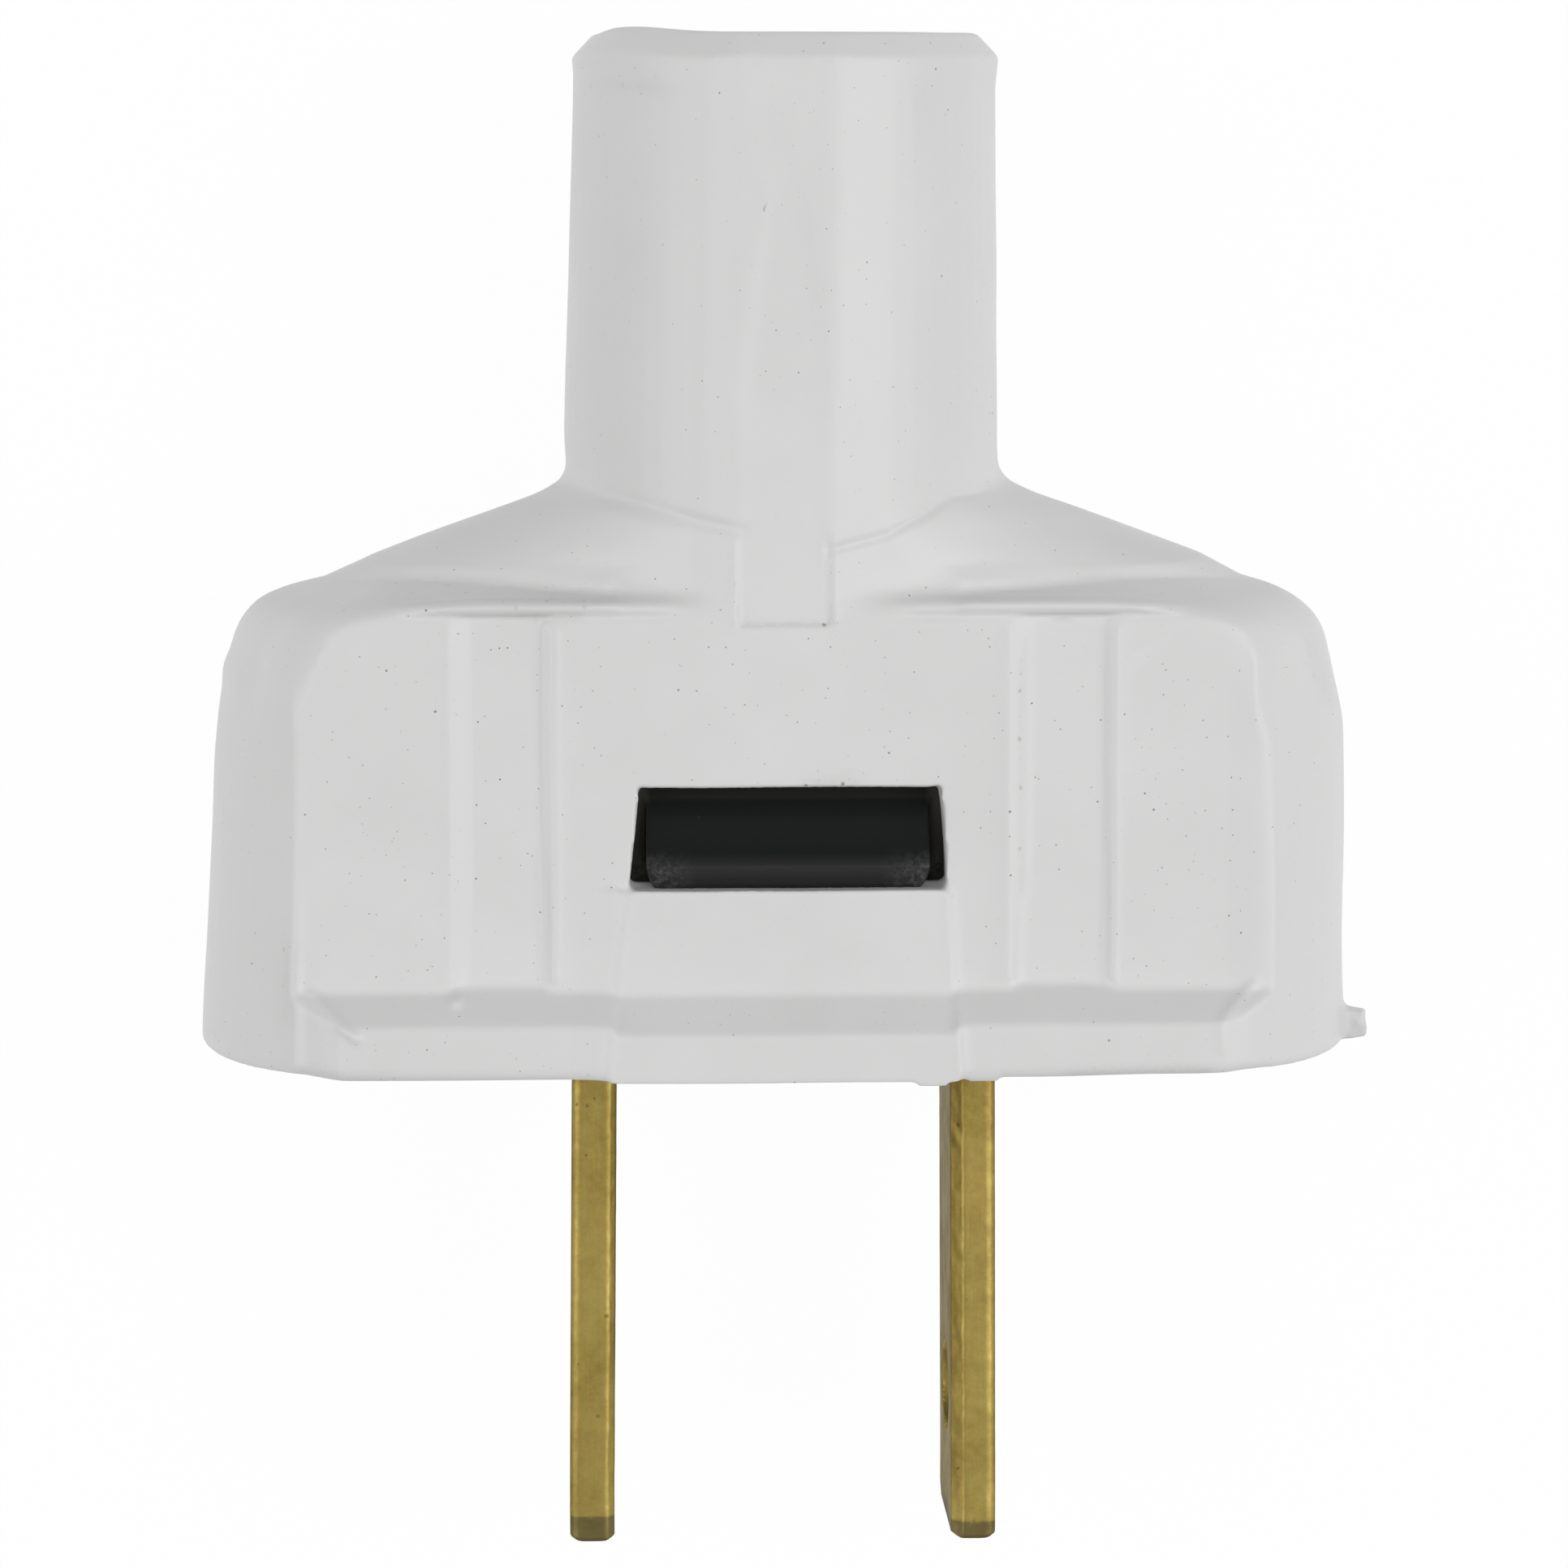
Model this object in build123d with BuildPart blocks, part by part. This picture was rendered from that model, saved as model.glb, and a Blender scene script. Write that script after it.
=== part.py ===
from build123d import *
import os
from math import radians, tan

# A flat two-blade plug that latches together by hand. A rubber housing slips over a stiff core, and the
# core carries two blades with their terminal screws. Millimetres. X runs across the blades, +Y runs from
# the face that meets the outlet to the end of the cord neck, and Z is the thickness. The origin is the
# middle of the face. The plug lies on one of its flat sides.

# Blades, at the standard spacing for a two-blade plug
blade_spacing = 12.7
blade_thickness = 1.5
line_blade_width = 6.35
neutral_blade_width = 7.94
blade_reach = 17.0
blade_tip_chamfer = 1.0
blade_edge_round = 0.3
blade_hole_diameter = 3.18
blade_hole_from_face = 12.2

# Terminal lug, folded outwards from the inner end of each blade
lug_fold_round = 0.5
lug_side_margin = 0.2
lug_end_margin = 0.05

# Terminal screw and its clamp washer, which fills the room between the blade and the core's end post
screw_share_of_washer = 0.565
screw_head_height = 1.9
screw_head_chamfer = 0.35
screw_slot_width = 1.0
screw_slot_depth = 0.9
screw_tip_stand_out = 1.4
screw_tip_chamfer = 0.4
washer_thickness = 0.8
washer_corner_round = 0.8
washer_gap = 0.55

# Fits
slide_clearance = 0.05
thread_clearance = 0.03
washer_hole_clearance = 0.2

# How far a cutting block reaches past what it cuts
cut_margin = 2.0

# Housing outline, seen from the flat side
face_width = 38.9
end_radius_at_face = 9.75
side_taper_height = 11.0
side_taper = 2.1
brow_radius = 8.47
brow_height = 14.76
cheek_round = 5.0
brow_round = 2.3
roof_slope = 17.0
face_edge_chamfer = 0.2

# Flat panels and the flange around the face, as distances from the middle plane
panel_level = 7.2
panel_top = 15.34
flange_level = 8.5
flange_height = 1.74
flange_slope_top = 2.72

# Raised strap under each latch window
strap_rise = 0.15
strap_half_width_at_face = 5.74
strap_half_width_at_window = 5.18

# Latch windows
window_bottom = 6.15
window_top = 9.4
window_half_width_at_bottom = 5.18
window_half_width_at_top = 4.88

# Shallow grip channels
channel_inner = 7.45
channel_outer = 10.95
channel_wall_run = 0.3
channel_depth = 0.22
channel_top = 14.85

# Centre flat, from the top of the panel up the front of the neck
centre_flat_width = 2.9
centre_flat_level = 7.08
centre_flat_bottom = 14.8

# Cord neck
neck_root_radius = 7.37
neck_end_radius = 7.03
neck_end = 33.82
neck_end_chamfer = 0.75
neck_end_chamfer_height = 0.8

# Shoulders: half widths and half depths at heights above the face. Each quarter of a section is one
# curve, and its pulls are shares of those sizes: the side pull fills its end, the face pull its face
shoulder_low = 15.35
shoulder_low_half_width = 16.5
shoulder_low_half_depth = 7.2
shoulder_low_side_pull = 0.5
shoulder_low_face_pull = 0.7
shoulder_middle = 16.42
shoulder_middle_half_width = 14.3
shoulder_middle_half_depth = 7.4
shoulder_middle_side_pull = 0.92
shoulder_middle_face_pull = 0.39
shoulder_face_slant = 0.74
shoulder_round_pull = 0.46
shoulder_blend_start = 18.5
shoulder_blend_start_half_width = 8.5
shoulder_blend_start_half_depth = 7.25
shoulder_blend_middle = 18.95
shoulder_blend_middle_half_width = 7.6
shoulder_blend_middle_half_depth = 6.9
shoulder_high = 19.6
shoulder_high_half_width = 7.2
shoulder_high_half_depth = 6.8

# Hollow of the housing
end_wall = 3.05
mouth_half_depth = 5.6
mouth_depth = 12.5
funnel_radius = 5.4
funnel_top = 16.0
cord_bore_radius = 4.4
bore_mouth_chamfer = 0.5
grip_rib_count = 3
grip_rib_first = 19.0
grip_rib_pitch = 2.4
grip_rib_height = 0.35
grip_rib_width = 0.8

# Flash left at the corner of the flange
flash_reach = 0.78
flash_bottom = 0.1
flash_height = 1.05
flash_thickness = 0.75
flash_level = 1.7
flash_round = 0.3

# Core
plate_thickness = 3.6
core_height = 11.0
end_post_width = 2.0
chamber_end_clearance = 0.45
core_corner_round = 0.6
barb_half_width = 4.65
barb_top = 9.3
barb_crest = 6.9
barb_stand_out = 1.3
barb_heel_drop = 0.5
barb_corner_round = 0.8

# Worked out from the sizes above
end_centre = face_width / 2 - end_radius_at_face
mouth_half_width = face_width / 2 - end_wall
blade_offset = blade_spacing / 2
blade_inner_side = blade_offset - blade_thickness / 2
plate_half_width = mouth_half_width - slide_clearance
plate_half_depth = mouth_half_depth - slide_clearance
block_half_width = blade_inner_side - slide_clearance
blade_outer_side = blade_inner_side + blade_thickness
end_post_inner = plate_half_width - end_post_width
lug_reach = end_post_inner - chamber_end_clearance
washer_side = lug_reach - lug_end_margin - washer_gap - blade_outer_side
terminal_offset = lug_reach - lug_end_margin - washer_side / 2
lug_length = washer_side + 2 * lug_side_margin
screw_diameter = screw_share_of_washer * washer_side
screw_head_diameter = washer_side
end_radius_at_taper = end_radius_at_face - side_taper_height * tan(radians(side_taper))
roof_height = panel_top + panel_level * tan(radians(roof_slope))
flange_slope_run = (flange_slope_top - flange_height) / (flange_level - panel_level)
lug_bottom = plate_thickness
terminal_height = lug_bottom + lug_length / 2
barb_level = plate_half_depth + barb_stand_out


# A plane across the plug's length at a given height above the face
def cross_plane(height):
    return Plane(origin=(0, height, 0), x_dir=(1, 0, 0), z_dir=(0, 1, 0))


# The plane through a rounded end's centre line, with its first direction along +Z
def end_plane(centre):
    return Plane(origin=(centre, 0, 0), x_dir=(0, 0, 1), z_dir=(-1, 0, 0))


# Half of the housing's side view: out from the centre line, and up from the face
with BuildSketch() as half_profile:
    with BuildLine():
        Polyline(
            (0, 0),
            (end_radius_at_face, 0),
            (end_radius_at_taper, side_taper_height),
            (brow_radius, brow_height),
            (panel_level, panel_top),
            (0, roof_height),
            close=True,
        )
    make_face()
    fillet(half_profile.vertices().sort_by_distance((brow_radius, brow_height))[0], brow_round)
    fillet(half_profile.vertices().sort_by_distance((end_radius_at_taper, side_taper_height))[0], cheek_round)

with BuildSketch() as full_profile:
    add(half_profile.sketch)
    mirror(about=Plane.YZ)


# What is cut away outside the panel, slope and flange, seen from the end and raised by an amount
def panel_cutter(rise):
    beyond = end_radius_at_face + cut_margin
    with BuildSketch() as cutter:
        with BuildLine():
            Polyline(
                (-cut_margin, flange_level + rise),
                (flange_height, flange_level + rise),
                (flange_slope_top, panel_level + rise),
                (panel_top, panel_level + rise),
                (panel_top, beyond),
                (-cut_margin, beyond),
                close=True,
            )
        make_face()
        mirror(about=Plane.XZ)
    return cutter.sketch


# A section across the shoulders, made of four equal curves. A slant under 1 tips its face back sideways
def shoulder_section(height, half_width, half_depth, side_pull, face_pull, slant):
    with BuildSketch(cross_plane(height)) as section:
        with BuildLine():
            Bezier(
                (half_width, 0),
                (half_width, side_pull * half_depth),
                (face_pull * half_width, slant * half_depth),
                (0, half_depth),
            )
            mirror(about=Plane.YZ)
            mirror(about=Plane.XZ)
        make_face()
    return section.sketch


# A section near the neck, where the shoulders grow round
def round_section(height, half_width, half_depth):
    return shoulder_section(height, half_width, half_depth, shoulder_round_pull, shoulder_round_pull, 1)


flat_panel_cutter = panel_cutter(0)
strap_cutter = panel_cutter(strap_rise)

# The straps' outer form, as one block through the middle plane
with BuildPart() as strap:
    with BuildSketch(Plane.XY):
        with BuildLine():
            Polyline(
                (-strap_half_width_at_face, 0),
                (strap_half_width_at_face, 0),
                (strap_half_width_at_window, window_bottom),
                (-strap_half_width_at_window, window_bottom),
                close=True,
            )
        make_face()
    extrude(amount=flange_level + strap_rise, both=True)
    with BuildSketch(Plane.YZ):
        add(strap_cutter)
    extrude(amount=strap_half_width_at_face + cut_margin, both=True, mode=Mode.SUBTRACT)


# A section along a grip channel, from the flange's slope to the channel's top, above a given level
def channel_section(offset, level):
    ceiling = level + 2 * channel_depth
    with BuildSketch(Plane.YZ.offset(offset)) as section:
        with BuildLine():
            Polyline(
                (flange_slope_top - (level - panel_level) * flange_slope_run, level),
                (channel_top, level),
                (channel_top, ceiling),
                (flange_slope_top - (ceiling - panel_level) * flange_slope_run, ceiling),
                close=True,
            )
        make_face()
    return section.sketch


# The four grip channels' hollows, with sloping walls
with BuildPart() as channels:
    loft(
        [
            channel_section(channel_inner - channel_wall_run, panel_level + channel_depth),
            channel_section(channel_inner + channel_wall_run, panel_level - channel_depth),
            channel_section(channel_outer - channel_wall_run, panel_level - channel_depth),
            channel_section(channel_outer + channel_wall_run, panel_level + channel_depth),
        ],
        ruled=True,
    )
    mirror(about=Plane.YZ)
    mirror(about=Plane.XY)

# Housing: one soft moulding
with BuildPart() as housing:
    # Straight middle of the body
    with BuildSketch(end_plane(0)):
        add(full_profile.sketch)
    extrude(amount=end_centre, both=True)

    # Rounded ends, turned from the same profile
    with BuildSketch(end_plane(end_centre)):
        add(half_profile.sketch)
    revolve(axis=Axis((end_centre, 0, 0), (0, 1, 0)), revolution_arc=180)
    with BuildSketch(end_plane(-end_centre)):
        add(half_profile.sketch)
    revolve(axis=Axis((-end_centre, 0, 0), (0, -1, 0)), revolution_arc=180)

    # Flat panels, slope and flange on both sides
    with BuildSketch(Plane.YZ):
        add(flat_panel_cutter)
    extrude(amount=face_width / 2 + cut_margin, both=True, mode=Mode.SUBTRACT)

    # Softened rim of the face
    chamfer(housing.faces().sort_by(Axis.Y)[0].outer_wire().edges(), face_edge_chamfer)

    # Raised straps
    add(strap.part)

    # Shoulders, with straight sides from one section to the next
    loft(
        [
            shoulder_section(
                shoulder_low,
                shoulder_low_half_width,
                shoulder_low_half_depth,
                shoulder_low_side_pull,
                shoulder_low_face_pull,
                shoulder_face_slant,
            ),
            shoulder_section(
                shoulder_middle,
                shoulder_middle_half_width,
                shoulder_middle_half_depth,
                shoulder_middle_side_pull,
                shoulder_middle_face_pull,
                shoulder_face_slant,
            ),
            round_section(
                shoulder_blend_start, shoulder_blend_start_half_width, shoulder_blend_start_half_depth
            ),
            round_section(
                shoulder_blend_middle, shoulder_blend_middle_half_width, shoulder_blend_middle_half_depth
            ),
            round_section(shoulder_high, shoulder_high_half_width, shoulder_high_half_depth),
        ],
        ruled=True,
    )

    # Neck
    with BuildSketch(Plane.XY):
        with BuildLine():
            Polyline(
                (0, panel_top),
                (neck_root_radius, panel_top),
                (neck_end_radius, neck_end - neck_end_chamfer_height),
                (neck_end_radius - neck_end_chamfer, neck_end),
                (0, neck_end),
                close=True,
            )
        make_face()
    revolve(axis=Axis.Y)

    # Flat up the front and back of the neck, ending in a step on each panel
    with BuildSketch(Plane.XZ.offset(-centre_flat_bottom)):
        with Locations(
            (0, centre_flat_level + cut_margin / 2),
            (0, -centre_flat_level - cut_margin / 2),
        ):
            Rectangle(centre_flat_width, cut_margin)
    extrude(amount=centre_flat_bottom - neck_end, mode=Mode.SUBTRACT)

    # Shallow grip channels, down to the flange's slope
    add(channels.part, mode=Mode.SUBTRACT)

    # Latch windows through both flat sides
    with BuildSketch(Plane.XY):
        with BuildLine():
            Polyline(
                (-window_half_width_at_bottom, window_bottom),
                (window_half_width_at_bottom, window_bottom),
                (window_half_width_at_top, window_top),
                (-window_half_width_at_top, window_top),
                close=True,
            )
        make_face()
    extrude(amount=flange_level, both=True, mode=Mode.SUBTRACT)

    # Mouth that takes the core
    with BuildSketch(cross_plane(0)):
        SlotOverall(2 * mouth_half_width, 2 * mouth_half_depth)
    extrude(amount=mouth_depth, mode=Mode.SUBTRACT)

    # Funnel and cord bore
    with BuildSketch(Plane.XY):
        with BuildLine():
            Polyline(
                (0, mouth_depth),
                (funnel_radius, mouth_depth),
                (cord_bore_radius, funnel_top),
                (cord_bore_radius, neck_end - bore_mouth_chamfer),
                (cord_bore_radius + bore_mouth_chamfer, neck_end),
                (0, neck_end),
                close=True,
            )
        make_face()
    revolve(axis=Axis.Y, mode=Mode.SUBTRACT)

    # Ribs in the bore that grip the cord
    with BuildSketch(Plane.XY):
        for rib in range(grip_rib_count):
            middle = grip_rib_first + rib * grip_rib_pitch
            with BuildLine():
                Polyline(
                    (cord_bore_radius + grip_rib_height, middle - grip_rib_width),
                    (cord_bore_radius - grip_rib_height, middle),
                    (cord_bore_radius + grip_rib_height, middle + grip_rib_width),
                    close=True,
                )
            make_face()
    revolve(axis=Axis.Y)

    # Flash at one corner of the flange, where the two halves of the mould met
    with BuildSketch(Plane.XY.offset(flash_level - flash_thickness / 2)):
        with Locations((face_width / 2, flash_bottom + flash_height / 2)):
            RectangleRounded(2 * flash_reach, flash_height, flash_round)
    extrude(amount=flash_thickness)


# Core: one stiff moulding with a face plate, a barrier block, two end posts and the latch barbs
with BuildPart() as core:
    with BuildSketch(cross_plane(0)):
        SlotOverall(2 * plate_half_width, 2 * plate_half_depth)
    extrude(amount=core_height)

    # Wiring chambers between the block and the end posts
    with BuildSketch(cross_plane(plate_thickness)):
        with Locations(
            ((end_post_inner + block_half_width) / 2, 0),
            (-(end_post_inner + block_half_width) / 2, 0),
        ):
            Rectangle(end_post_inner - block_half_width, 2 * plate_half_depth)
    extrude(amount=core_height - plate_thickness, mode=Mode.SUBTRACT)
    fillet(core.edges().filter_by(Axis.Z).group_by(Axis.Y)[-1], core_corner_round)

    # Slots for the blades
    with BuildSketch(cross_plane(0)):
        with Locations((blade_offset, 0)):
            Rectangle(blade_thickness + 2 * slide_clearance, line_blade_width + 2 * slide_clearance)
        with Locations((-blade_offset, 0)):
            Rectangle(blade_thickness + 2 * slide_clearance, neutral_blade_width + 2 * slide_clearance)
    extrude(amount=plate_thickness, mode=Mode.SUBTRACT)

# Latch barbs, as one block that stands out on both sides of the core
with BuildPart() as barbs:
    with BuildSketch(Plane.XY) as barb_outline:
        with Locations((0, (barb_top + window_bottom + slide_clearance) / 2)):
            Rectangle(2 * barb_half_width, barb_top - window_bottom - slide_clearance)
        fillet(barb_outline.vertices().group_by(Axis.Y)[0], barb_corner_round)
    extrude(amount=barb_level, both=True)
    with BuildSketch(Plane.YZ):
        with BuildLine():
            Polyline(
                (window_bottom, barb_level - barb_heel_drop),
                (barb_crest, barb_level),
                (barb_top, plate_half_depth),
                (barb_top, barb_level + cut_margin),
                (window_bottom, barb_level + cut_margin),
                close=True,
            )
        make_face()
        mirror(about=Plane.XZ)
    extrude(amount=barb_half_width, both=True, mode=Mode.SUBTRACT)

with BuildPart() as core_with_barbs:
    add(core.part)
    add(barbs.part)


# Blade: a flat contact with a hole near its tip and, at its inner end, a lug folded outwards for the screw
def make_blade(width):
    edge = width / 2
    with BuildPart() as blade:
        # Contact, from its tip to the back of the core's plate
        with BuildSketch(Plane.YZ.offset(blade_inner_side)) as outline:
            with Locations(((plate_thickness - blade_reach) / 2, 0)):
                Rectangle(blade_reach + plate_thickness, width)
            chamfer(outline.vertices().group_by(Axis.Y)[0], blade_tip_chamfer)
        extrude(amount=blade_thickness)
        fillet(blade.edges().filter_by(Axis.Y), blade_edge_round)
        with BuildSketch(Plane.YZ.offset(blade_inner_side)):
            with Locations((-blade_hole_from_face, 0)):
                Circle(blade_hole_diameter / 2)
        extrude(amount=blade_thickness, mode=Mode.SUBTRACT)

        # Leg and lug, folded from one strip
        bend_inside = (blade_outer_side, edge - blade_thickness)
        bend_outside = (blade_inner_side, edge)
        with BuildSketch(cross_plane(lug_bottom)) as fold:
            with BuildLine():
                Polyline(
                    (blade_inner_side, -edge),
                    (blade_inner_side, edge),
                    (lug_reach, edge),
                    (lug_reach, edge - blade_thickness),
                    (blade_outer_side, edge - blade_thickness),
                    (blade_outer_side, -edge),
                    close=True,
                )
            make_face()
            fillet(fold.vertices().sort_by_distance(bend_inside)[0], lug_fold_round)
            fillet(fold.vertices().sort_by_distance(bend_outside)[0], lug_fold_round + blade_thickness)
        extrude(amount=lug_length)

        # Threaded hole for the screw
        with BuildSketch(Plane.XY.offset(-edge)):
            with Locations((terminal_offset, terminal_height)):
                Circle(screw_diameter / 2 + thread_clearance)
        extrude(amount=blade_thickness, mode=Mode.SUBTRACT)
    return blade.part


# Clamp washer: a square plate with rounded corners, on top of the lug
def make_washer(level):
    with BuildPart() as washer:
        with BuildSketch(Plane.XY.offset(level)) as outline:
            with Locations((terminal_offset, terminal_height)):
                Rectangle(washer_side, washer_side)
                fillet(outline.vertices(), washer_corner_round)
                Circle(screw_diameter / 2 + washer_hole_clearance, mode=Mode.SUBTRACT)
        extrude(amount=washer_thickness)
    return washer.part


# Terminal screw, turned about its own axis, with its head on the washer
def make_screw(level):
    shank = washer_thickness + blade_thickness + screw_tip_stand_out
    seat_centre = (terminal_offset, terminal_height, level + washer_thickness)
    seat = Plane(origin=seat_centre, x_dir=(1, 0, 0), z_dir=(0, -1, 0))
    with BuildPart() as screw:
        with BuildSketch(seat) as profile:
            with BuildLine():
                Polyline(
                    (0, -shank),
                    (screw_diameter / 2, -shank),
                    (screw_diameter / 2, 0),
                    (screw_head_diameter / 2, 0),
                    (screw_head_diameter / 2, screw_head_height),
                    (0, screw_head_height),
                    close=True,
                )
            make_face()
        revolve(axis=Axis((terminal_offset, terminal_height, 0), (0, 0, 1)))
        chamfer(screw.edges().filter_by(GeomType.CIRCLE).sort_by(Axis.Z)[-1], screw_head_chamfer)
        chamfer(screw.edges().filter_by(GeomType.CIRCLE).sort_by(Axis.Z)[0], screw_tip_chamfer)
        with BuildSketch(seat.offset(-screw_head_diameter / 2)):
            with Locations((0, screw_head_height - screw_slot_depth / 2)):
                Rectangle(screw_slot_width, screw_slot_depth)
        extrude(amount=screw_head_diameter, mode=Mode.SUBTRACT)
    return screw.part


parts = {"housing": housing.part, "core": core_with_barbs.part}
for name, width, side in (("line", line_blade_width, 1), ("neutral", neutral_blade_width, -1)):
    lug_level = blade_thickness - width / 2
    pieces = {
        "blade_" + name: make_blade(width),
        "clamp_washer_" + name: make_washer(lug_level),
        "terminal_screw_" + name: make_screw(lug_level),
    }
    for label, piece in pieces.items():
        parts[label] = piece if side > 0 else mirror(piece, about=Plane.YZ)

os.makedirs("parts", exist_ok=True)
for label, piece in parts.items():
    piece.label = label
    export_step(piece, "parts/" + label + ".step")
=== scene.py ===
# %% [markdown]
# A cord plug in white rubber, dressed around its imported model
#
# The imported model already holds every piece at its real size: the rubber housing, the black core, two
# brass blades and, out of sight, their screws and washers. This lesson gives those pieces the looks that
# the photograph shows. Modelling them afresh would risk a second set of sizes, so each look is worked on
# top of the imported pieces. Blender works in metres, so a value in millimetres is multiplied by mm.

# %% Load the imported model
import math
import bmesh
import bpy
from mathutils import Matrix, Vector, noise


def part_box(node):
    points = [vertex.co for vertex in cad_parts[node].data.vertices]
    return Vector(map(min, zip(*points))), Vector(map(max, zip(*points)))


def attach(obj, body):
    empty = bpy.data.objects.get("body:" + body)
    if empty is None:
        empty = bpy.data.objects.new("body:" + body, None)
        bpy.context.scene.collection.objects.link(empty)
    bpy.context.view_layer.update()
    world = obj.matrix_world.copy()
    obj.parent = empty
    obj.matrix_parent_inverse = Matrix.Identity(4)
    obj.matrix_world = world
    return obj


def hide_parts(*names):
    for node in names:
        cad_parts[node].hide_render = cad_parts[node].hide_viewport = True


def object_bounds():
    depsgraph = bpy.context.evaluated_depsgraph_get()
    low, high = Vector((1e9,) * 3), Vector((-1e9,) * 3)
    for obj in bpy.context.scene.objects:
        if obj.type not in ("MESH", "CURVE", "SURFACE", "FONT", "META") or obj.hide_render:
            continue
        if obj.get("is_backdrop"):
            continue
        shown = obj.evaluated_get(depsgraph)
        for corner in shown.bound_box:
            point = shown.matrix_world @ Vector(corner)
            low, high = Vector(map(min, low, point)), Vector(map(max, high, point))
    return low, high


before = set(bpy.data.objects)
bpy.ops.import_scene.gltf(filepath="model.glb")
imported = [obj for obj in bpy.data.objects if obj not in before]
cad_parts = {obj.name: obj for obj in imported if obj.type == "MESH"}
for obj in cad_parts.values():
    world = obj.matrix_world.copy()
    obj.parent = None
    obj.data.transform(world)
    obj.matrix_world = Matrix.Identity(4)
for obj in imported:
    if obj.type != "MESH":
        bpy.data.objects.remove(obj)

mm = 0.001
cad_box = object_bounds()
for name in sorted(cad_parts):
    low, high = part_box(name)
    print(name, "measures", [round((b - a) / mm, 2) for a, b in zip(low, high)], "mm")

# %% [markdown]
# The camera stands where the photographer's did: above the flat side, a little towards the neck and a
# little to the left, so that the inner side of the right blade shows. It is aimed at the middle of the
# picture, which is why it needs no lens shift. Its three directions are worked out one by one, because a
# camera that looks almost straight down has no natural upright.

# %% Camera
picture_side = 1932
focal_pixels = 6720
sensor_width = 36.0
camera_place = Vector((-6.93, 31.75, 183.2)) * mm
camera_aim = Vector((0.12, 8.63, 0.0)) * mm

forward = (camera_aim - camera_place).normalized()
rightward = forward.cross(Vector((0, 1, 0))).normalized()
upward = rightward.cross(forward)
camera = bpy.data.objects.new("camera", bpy.data.cameras.new("camera"))
bpy.context.collection.objects.link(camera)
turn = Matrix((rightward, upward, -forward)).transposed().to_4x4()
camera.matrix_world = Matrix.Translation(camera_place) @ turn
camera.data.sensor_width = sensor_width
camera.data.lens = sensor_width * focal_pixels / picture_side
camera.data.clip_start = 1 * mm
camera.data.clip_end = 10
bpy.context.scene.camera = camera
bpy.context.scene.view_settings.view_transform = "Standard"
print("the lens is", round(camera.data.lens, 1), "mm")

# %% [markdown]
# Small helpers for node trees. A node is added by its type name, and its inputs are set by name in the
# same call, so that each material reads from top to bottom.

# %% Helpers for nodes
def add_node(tree, kind, values=(), **settings):
    node = tree.nodes.new(kind)
    for key, value in settings.items():
        setattr(node, key, value)
    for key, value in dict(values).items():
        node.inputs[key].default_value = value
    return node


def wire(tree, start, output, end, entry):
    tree.links.new(start.outputs[output], end.inputs[entry])


def new_material(name):
    material = bpy.data.materials.new(name)
    material.use_nodes = True
    material.node_tree.nodes.clear()
    return material, material.node_tree


def new_group(name, inputs, outputs):
    group = bpy.data.node_groups.new(name, "ShaderNodeTree")
    for label, kind, value in inputs:
        socket = group.interface.new_socket(label, in_out="INPUT", socket_type=kind)
        if value is not None:
            socket.default_value = value
    for label, kind in outputs:
        group.interface.new_socket(label, in_out="OUTPUT", socket_type=kind)
    return group, group.nodes.new("NodeGroupInput"), group.nodes.new("NodeGroupOutput")


def place_group(tree, group, values=()):
    node = add_node(tree, "ShaderNodeGroup")
    node.node_tree = group
    for key, value in dict(values).items():
        node.inputs[key].default_value = value
    return node


# %% [markdown]
# The plug lies on a white floor. The floor is an ordinary pale surface for every ray that carries light,
# so it bounces light up under the plug and keeps a shadow. For the camera and for reflections most of it
# is a plain white glow, which gives the clean background without any more light on the plug.

# %% Floor
floor_size = 3.0
floor_gap = 0.02 * mm
floor_tone = (0.86, 0.86, 0.86, 1)
glow_share = 0.975

bm = bmesh.new()
bmesh.ops.create_grid(bm, x_segments=1, y_segments=1, size=floor_size / 2)
floor_level = cad_box[0][2] - floor_gap
bmesh.ops.translate(bm, verts=bm.verts, vec=(0, 0, floor_level))
floor = bpy.data.objects.new("floor", bpy.data.meshes.new("floor"))
bm.to_mesh(floor.data)
bm.free()
bpy.context.collection.objects.link(floor)

floor_paint, tree = new_material("floor paint")
paths = add_node(tree, "ShaderNodeLightPath")
either = add_node(tree, "ShaderNodeMath", operation="MAXIMUM")
any_seen = add_node(tree, "ShaderNodeMath", operation="MAXIMUM")
share = add_node(tree, "ShaderNodeMath", {1: glow_share}, operation="MULTIPLY")
matt = add_node(tree, "ShaderNodeBsdfDiffuse", {"Color": floor_tone})
glow = add_node(tree, "ShaderNodeEmission", {"Color": (1, 1, 1, 1), "Strength": 1.0})
blend = add_node(tree, "ShaderNodeMixShader")
surface = add_node(tree, "ShaderNodeOutputMaterial")
wire(tree, paths, "Is Camera Ray", either, 0)
wire(tree, paths, "Is Glossy Ray", either, 1)
wire(tree, either, 0, any_seen, 0)
wire(tree, paths, "Is Transmission Ray", any_seen, 1)
wire(tree, any_seen, 0, share, 0)
wire(tree, share, 0, blend, 0)
wire(tree, matt, 0, blend, 1)
wire(tree, glow, 0, blend, 2)
wire(tree, blend, 0, surface, "Surface")
floor.data.materials.append(floor_paint)
floor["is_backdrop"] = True
print("the floor lies at", round(floor_level / mm, 2), "mm")

# %% [markdown]
# The photograph was lit from the front by two soft boxes, the right one stronger, with plain fill all
# round. Surfaces that face up or down the picture are the darkest. A wide area lamp on each side of the
# camera gives that, and a pale world fills the rest. A picture of a room could fill it too, but a plain
# world keeps the white parts free of tint.

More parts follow.
